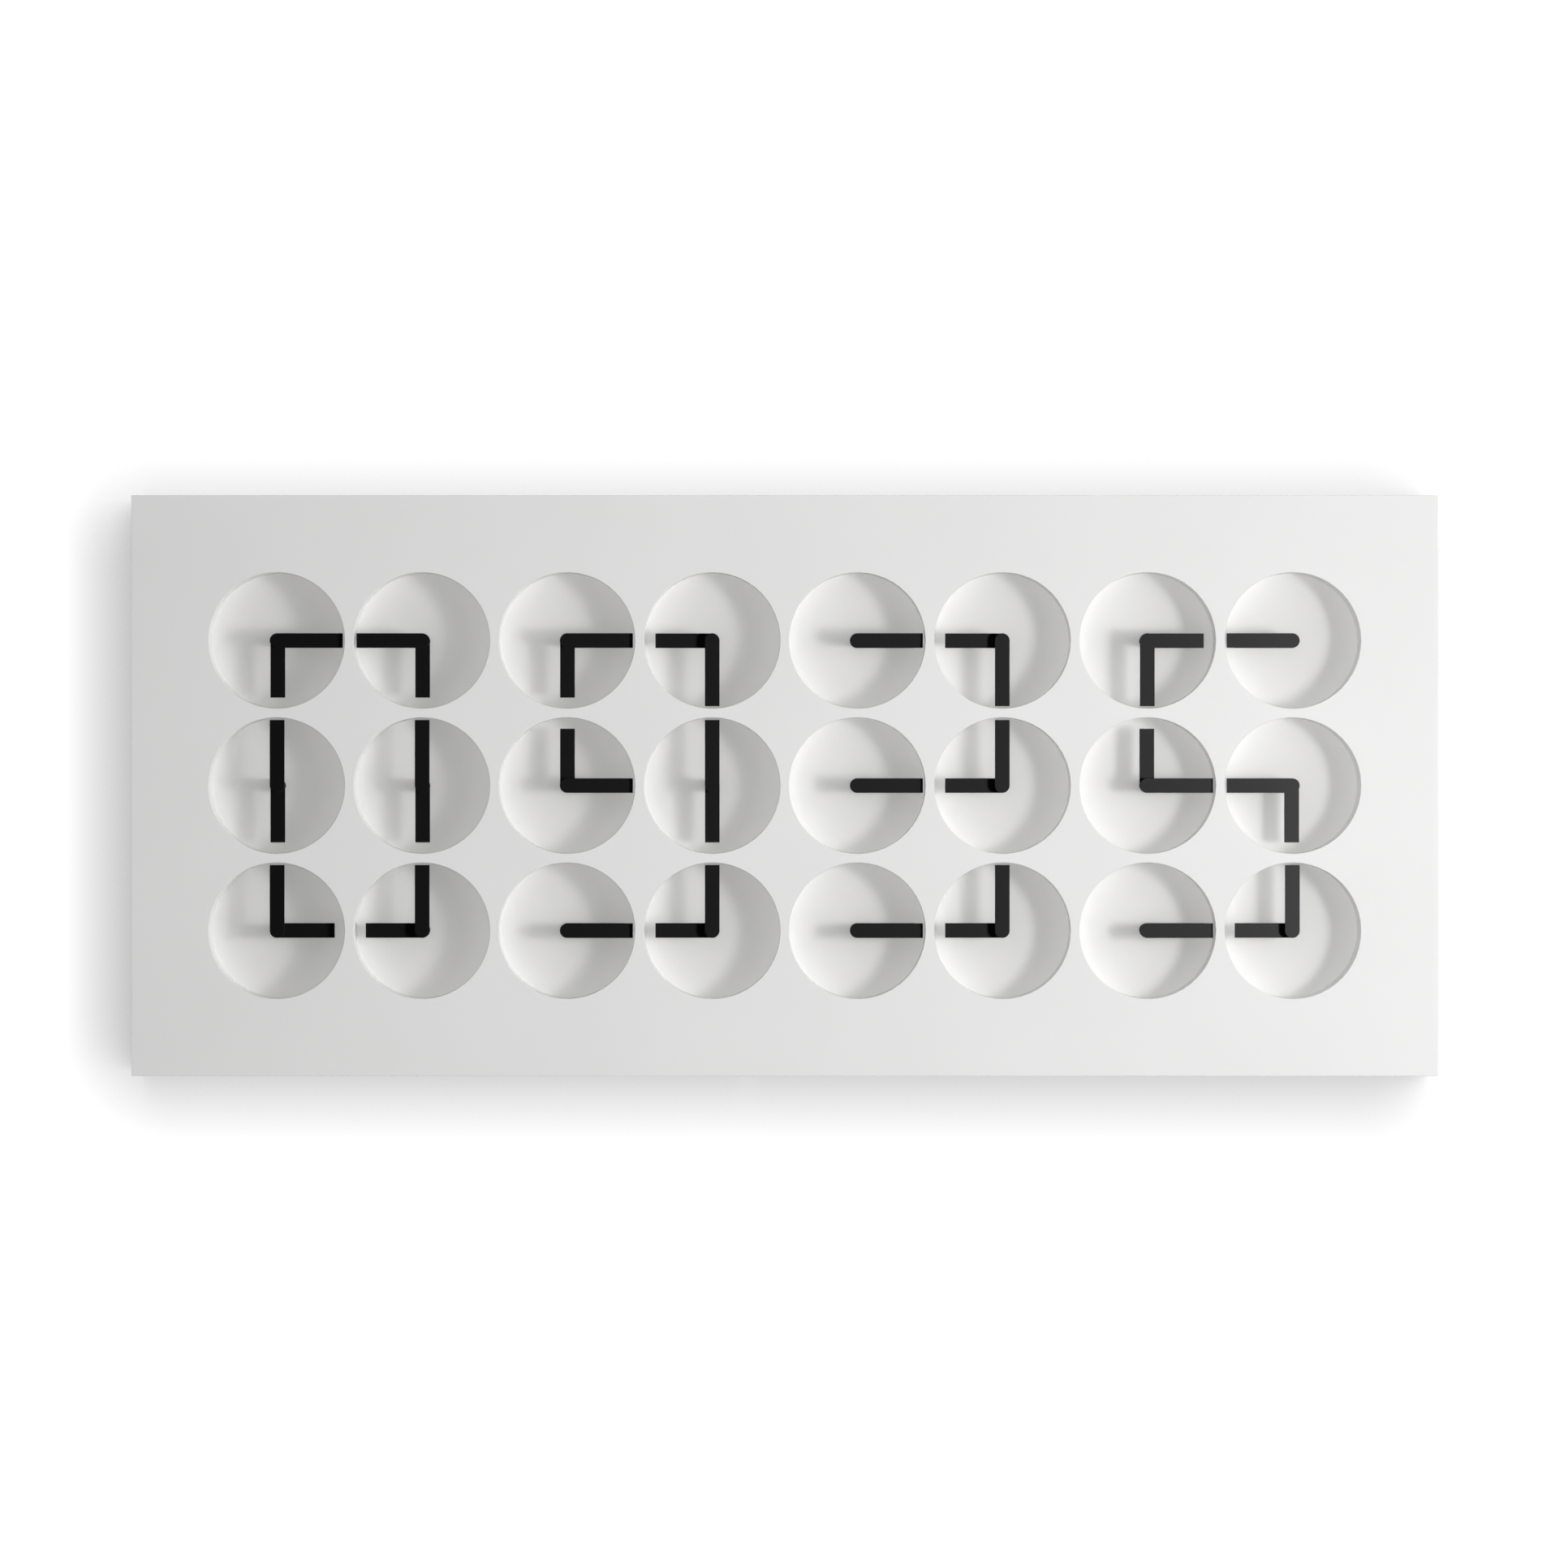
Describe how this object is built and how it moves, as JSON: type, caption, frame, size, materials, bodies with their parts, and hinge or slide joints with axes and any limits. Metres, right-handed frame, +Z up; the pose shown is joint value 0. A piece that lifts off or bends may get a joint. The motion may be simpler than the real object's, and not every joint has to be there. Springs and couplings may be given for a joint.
{
  "type": "kinetic wall clock",
  "caption": "White wall panel with rows of round recesses; in each, two black hands turn on one axis, and together the hands spell the time.",
  "frame": {"origin": "middle of the rear cover's outer face, on the wall plane", "axes": "+X to the right as seen from the front, +Y into the wall, +Z up; the face looks to -Y"},
  "size_m": [0.9, 0.05, 0.4],
  "materials": {
    "white_lacquer": "satin",
    "dial_white": "matte",
    "hand_black": "satin",
    "motor_black": "matte",
    "board_green": "satin",
    "screw_steel": "satin",
    "inlet_black": "satin",
    "button_grey": "satin",
    "cover_grey": "matte"
  },
  "bodies": {
    "case": {"front_panel": "white_lacquer", "side_frame": "white_lacquer", "dial_plate": "dial_white", "stepper_motors": "motor_black", "driver_boards": "board_green", "board_screws": "screw_steel", "control_board": "board_green", "power_inlet": "inlet_black", "rear_cover": "cover_grey", "cover_screws": "screw_steel"},
    "mode_button": {"mode_button": "button_grey"},
    "set_button": {"set_button": "button_grey"},
    "long_hand_r1c1": {"long_hand_r1c1": "hand_black"},
    "long_hand_r1c2": {"long_hand_r1c2": "hand_black"},
    "long_hand_r1c3": {"long_hand_r1c3": "hand_black"},
    "long_hand_r1c4": {"long_hand_r1c4": "hand_black"},
    "long_hand_r1c5": {"long_hand_r1c5": "hand_black"},
    "long_hand_r1c6": {"long_hand_r1c6": "hand_black"},
    "long_hand_r1c7": {"long_hand_r1c7": "hand_black"},
    "long_hand_r1c8": {"long_hand_r1c8": "hand_black"},
    "long_hand_r2c1": {"long_hand_r2c1": "hand_black"},
    "long_hand_r2c2": {"long_hand_r2c2": "hand_black"},
    "long_hand_r2c3": {"long_hand_r2c3": "hand_black"},
    "long_hand_r2c4": {"long_hand_r2c4": "hand_black"},
    "long_hand_r2c5": {"long_hand_r2c5": "hand_black"},
    "long_hand_r2c6": {"long_hand_r2c6": "hand_black"},
    "long_hand_r2c7": {"long_hand_r2c7": "hand_black"},
    "long_hand_r2c8": {"long_hand_r2c8": "hand_black"},
    "long_hand_r3c1": {"long_hand_r3c1": "hand_black"},
    "long_hand_r3c2": {"long_hand_r3c2": "hand_black"},
    "long_hand_r3c3": {"long_hand_r3c3": "hand_black"},
    "long_hand_r3c4": {"long_hand_r3c4": "hand_black"},
    "long_hand_r3c5": {"long_hand_r3c5": "hand_black"},
    "long_hand_r3c6": {"long_hand_r3c6": "hand_black"},
    "long_hand_r3c7": {"long_hand_r3c7": "hand_black"},
    "long_hand_r3c8": {"long_hand_r3c8": "hand_black"},
    "short_hand_r1c1": {"short_hand_r1c1": "hand_black"},
    "short_hand_r1c2": {"short_hand_r1c2": "hand_black"},
    "short_hand_r1c3": {"short_hand_r1c3": "hand_black"},
    "short_hand_r1c4": {"short_hand_r1c4": "hand_black"},
    "short_hand_r1c5": {"short_hand_r1c5": "hand_black"},
    "short_hand_r1c6": {"short_hand_r1c6": "hand_black"},
    "short_hand_r1c7": {"short_hand_r1c7": "hand_black"},
    "short_hand_r1c8": {"short_hand_r1c8": "hand_black"},
    "short_hand_r2c1": {"short_hand_r2c1": "hand_black"},
    "short_hand_r2c2": {"short_hand_r2c2": "hand_black"},
    "short_hand_r2c3": {"short_hand_r2c3": "hand_black"},
    "short_hand_r2c4": {"short_hand_r2c4": "hand_black"},
    "short_hand_r2c5": {"short_hand_r2c5": "hand_black"},
    "short_hand_r2c6": {"short_hand_r2c6": "hand_black"},
    "short_hand_r2c7": {"short_hand_r2c7": "hand_black"},
    "short_hand_r2c8": {"short_hand_r2c8": "hand_black"},
    "short_hand_r3c1": {"short_hand_r3c1": "hand_black"},
    "short_hand_r3c2": {"short_hand_r3c2": "hand_black"},
    "short_hand_r3c3": {"short_hand_r3c3": "hand_black"},
    "short_hand_r3c4": {"short_hand_r3c4": "hand_black"},
    "short_hand_r3c5": {"short_hand_r3c5": "hand_black"},
    "short_hand_r3c6": {"short_hand_r3c6": "hand_black"},
    "short_hand_r3c7": {"short_hand_r3c7": "hand_black"},
    "short_hand_r3c8": {"short_hand_r3c8": "hand_black"}
  },
  "joints": [
    {"name": "long_hand_r1c1_turn", "type": "hinge", "parent": "case", "child": "long_hand_r1c1", "pos_m": [-0.35, -0.03, 0.1], "axis": [0, 1, 0], "continuous": true},
    {"name": "long_hand_r1c2_turn", "type": "hinge", "parent": "case", "child": "long_hand_r1c2", "pos_m": [-0.25, -0.03, 0.1], "axis": [0, 1, 0], "continuous": true},
    {"name": "long_hand_r1c3_turn", "type": "hinge", "parent": "case", "child": "long_hand_r1c3", "pos_m": [-0.15, -0.03, 0.1], "axis": [0, 1, 0], "continuous": true},
    {"name": "long_hand_r1c4_turn", "type": "hinge", "parent": "case", "child": "long_hand_r1c4", "pos_m": [-0.05, -0.03, 0.1], "axis": [0, 1, 0], "continuous": true},
    {"name": "long_hand_r1c5_turn", "type": "hinge", "parent": "case", "child": "long_hand_r1c5", "pos_m": [0.05, -0.03, 0.1], "axis": [0, 1, 0], "continuous": true},
    {"name": "long_hand_r1c6_turn", "type": "hinge", "parent": "case", "child": "long_hand_r1c6", "pos_m": [0.15, -0.03, 0.1], "axis": [0, 1, 0], "continuous": true},
    {"name": "long_hand_r1c7_turn", "type": "hinge", "parent": "case", "child": "long_hand_r1c7", "pos_m": [0.25, -0.03, 0.1], "axis": [0, 1, 0], "continuous": true},
    {"name": "long_hand_r1c8_turn", "type": "hinge", "parent": "case", "child": "long_hand_r1c8", "pos_m": [0.35, -0.03, 0.1], "axis": [0, 1, 0], "continuous": true},
    {"name": "long_hand_r2c1_turn", "type": "hinge", "parent": "case", "child": "long_hand_r2c1", "pos_m": [-0.35, -0.03, 0], "axis": [0, 1, 0], "continuous": true},
    {"name": "long_hand_r2c2_turn", "type": "hinge", "parent": "case", "child": "long_hand_r2c2", "pos_m": [-0.25, -0.03, 0], "axis": [0, 1, 0], "continuous": true},
    {"name": "long_hand_r2c3_turn", "type": "hinge", "parent": "case", "child": "long_hand_r2c3", "pos_m": [-0.15, -0.03, 0], "axis": [0, 1, 0], "continuous": true},
    {"name": "long_hand_r2c4_turn", "type": "hinge", "parent": "case", "child": "long_hand_r2c4", "pos_m": [-0.05, -0.03, 0], "axis": [0, 1, 0], "continuous": true},
    {"name": "long_hand_r2c5_turn", "type": "hinge", "parent": "case", "child": "long_hand_r2c5", "pos_m": [0.05, -0.03, 0], "axis": [0, 1, 0], "continuous": true},
    {"name": "long_hand_r2c6_turn", "type": "hinge", "parent": "case", "child": "long_hand_r2c6", "pos_m": [0.15, -0.03, 0], "axis": [0, 1, 0], "continuous": true},
    {"name": "long_hand_r2c7_turn", "type": "hinge", "parent": "case", "child": "long_hand_r2c7", "pos_m": [0.25, -0.03, 0], "axis": [0, 1, 0], "continuous": true},
    {"name": "long_hand_r2c8_turn", "type": "hinge", "parent": "case", "child": "long_hand_r2c8", "pos_m": [0.35, -0.03, 0], "axis": [0, 1, 0], "continuous": true},
    {"name": "long_hand_r3c1_turn", "type": "hinge", "parent": "case", "child": "long_hand_r3c1", "pos_m": [-0.35, -0.03, -0.1], "axis": [0, 1, 0], "continuous": true},
    {"name": "long_hand_r3c2_turn", "type": "hinge", "parent": "case", "child": "long_hand_r3c2", "pos_m": [-0.25, -0.03, -0.1], "axis": [0, 1, 0], "continuous": true},
    {"name": "long_hand_r3c3_turn", "type": "hinge", "parent": "case", "child": "long_hand_r3c3", "pos_m": [-0.15, -0.03, -0.1], "axis": [0, 1, 0], "continuous": true},
    {"name": "long_hand_r3c4_turn", "type": "hinge", "parent": "case", "child": "long_hand_r3c4", "pos_m": [-0.05, -0.03, -0.1], "axis": [0, 1, 0], "continuous": true},
    {"name": "long_hand_r3c5_turn", "type": "hinge", "parent": "case", "child": "long_hand_r3c5", "pos_m": [0.05, -0.03, -0.1], "axis": [0, 1, 0], "continuous": true},
    {"name": "long_hand_r3c6_turn", "type": "hinge", "parent": "case", "child": "long_hand_r3c6", "pos_m": [0.15, -0.03, -0.1], "axis": [0, 1, 0], "continuous": true},
    {"name": "long_hand_r3c7_turn", "type": "hinge", "parent": "case", "child": "long_hand_r3c7", "pos_m": [0.25, -0.03, -0.1], "axis": [0, 1, 0], "continuous": true},
    {"name": "long_hand_r3c8_turn", "type": "hinge", "parent": "case", "child": "long_hand_r3c8", "pos_m": [0.35, -0.03, -0.1], "axis": [0, 1, 0], "continuous": true},
    {"name": "short_hand_r1c1_turn", "type": "hinge", "parent": "case", "child": "short_hand_r1c1", "pos_m": [-0.35, -0.03, 0.1], "axis": [0, 1, 0], "continuous": true},
    {"name": "short_hand_r1c2_turn", "type": "hinge", "parent": "case", "child": "short_hand_r1c2", "pos_m": [-0.25, -0.03, 0.1], "axis": [0, 1, 0], "continuous": true},
    {"name": "short_hand_r1c3_turn", "type": "hinge", "parent": "case", "child": "short_hand_r1c3", "pos_m": [-0.15, -0.03, 0.1], "axis": [0, 1, 0], "continuous": true},
    {"name": "short_hand_r1c4_turn", "type": "hinge", "parent": "case", "child": "short_hand_r1c4", "pos_m": [-0.05, -0.03, 0.1], "axis": [0, 1, 0], "continuous": true},
    {"name": "short_hand_r1c5_turn", "type": "hinge", "parent": "case", "child": "short_hand_r1c5", "pos_m": [0.05, -0.03, 0.1], "axis": [0, 1, 0], "continuous": true},
    {"name": "short_hand_r1c6_turn", "type": "hinge", "parent": "case", "child": "short_hand_r1c6", "pos_m": [0.15, -0.03, 0.1], "axis": [0, 1, 0], "continuous": true},
    {"name": "short_hand_r1c7_turn", "type": "hinge", "parent": "case", "child": "short_hand_r1c7", "pos_m": [0.25, -0.03, 0.1], "axis": [0, 1, 0], "continuous": true},
    {"name": "short_hand_r1c8_turn", "type": "hinge", "parent": "case", "child": "short_hand_r1c8", "pos_m": [0.35, -0.03, 0.1], "axis": [0, 1, 0], "continuous": true},
    {"name": "short_hand_r2c1_turn", "type": "hinge", "parent": "case", "child": "short_hand_r2c1", "pos_m": [-0.35, -0.03, 0], "axis": [0, 1, 0], "continuous": true},
    {"name": "short_hand_r2c2_turn", "type": "hinge", "parent": "case", "child": "short_hand_r2c2", "pos_m": [-0.25, -0.03, 0], "axis": [0, 1, 0], "continuous": true},
    {"name": "short_hand_r2c3_turn", "type": "hinge", "parent": "case", "child": "short_hand_r2c3", "pos_m": [-0.15, -0.03, 0], "axis": [0, 1, 0], "continuous": true},
    {"name": "short_hand_r2c4_turn", "type": "hinge", "parent": "case", "child": "short_hand_r2c4", "pos_m": [-0.05, -0.03, 0], "axis": [0, 1, 0], "continuous": true},
    {"name": "short_hand_r2c5_turn", "type": "hinge", "parent": "case", "child": "short_hand_r2c5", "pos_m": [0.05, -0.03, 0], "axis": [0, 1, 0], "continuous": true},
    {"name": "short_hand_r2c6_turn", "type": "hinge", "parent": "case", "child": "short_hand_r2c6", "pos_m": [0.15, -0.03, 0], "axis": [0, 1, 0], "continuous": true},
    {"name": "short_hand_r2c7_turn", "type": "hinge", "parent": "case", "child": "short_hand_r2c7", "pos_m": [0.25, -0.03, 0], "axis": [0, 1, 0], "continuous": true},
    {"name": "short_hand_r2c8_turn", "type": "hinge", "parent": "case", "child": "short_hand_r2c8", "pos_m": [0.35, -0.03, 0], "axis": [0, 1, 0], "continuous": true},
    {"name": "short_hand_r3c1_turn", "type": "hinge", "parent": "case", "child": "short_hand_r3c1", "pos_m": [-0.35, -0.03, -0.1], "axis": [0, 1, 0], "continuous": true},
    {"name": "short_hand_r3c2_turn", "type": "hinge", "parent": "case", "child": "short_hand_r3c2", "pos_m": [-0.25, -0.03, -0.1], "axis": [0, 1, 0], "continuous": true},
    {"name": "short_hand_r3c3_turn", "type": "hinge", "parent": "case", "child": "short_hand_r3c3", "pos_m": [-0.15, -0.03, -0.1], "axis": [0, 1, 0], "continuous": true},
    {"name": "short_hand_r3c4_turn", "type": "hinge", "parent": "case", "child": "short_hand_r3c4", "pos_m": [-0.05, -0.03, -0.1], "axis": [0, 1, 0], "continuous": true},
    {"name": "short_hand_r3c5_turn", "type": "hinge", "parent": "case", "child": "short_hand_r3c5", "pos_m": [0.05, -0.03, -0.1], "axis": [0, 1, 0], "continuous": true},
    {"name": "short_hand_r3c6_turn", "type": "hinge", "parent": "case", "child": "short_hand_r3c6", "pos_m": [0.15, -0.03, -0.1], "axis": [0, 1, 0], "continuous": true},
    {"name": "short_hand_r3c7_turn", "type": "hinge", "parent": "case", "child": "short_hand_r3c7", "pos_m": [0.25, -0.03, -0.1], "axis": [0, 1, 0], "continuous": true},
    {"name": "short_hand_r3c8_turn", "type": "hinge", "parent": "case", "child": "short_hand_r3c8", "pos_m": [0.35, -0.03, -0.1], "axis": [0, 1, 0], "continuous": true},
    {"name": "mode_button_press", "type": "slide", "parent": "case", "child": "mode_button", "axis": [0, -1, 0], "range_m": [0, 0.0015], "stiffness_N_per_m": 400},
    {"name": "set_button_press", "type": "slide", "parent": "case", "child": "set_button", "axis": [0, -1, 0], "range_m": [0, 0.0015], "stiffness_N_per_m": 400}
  ]
}
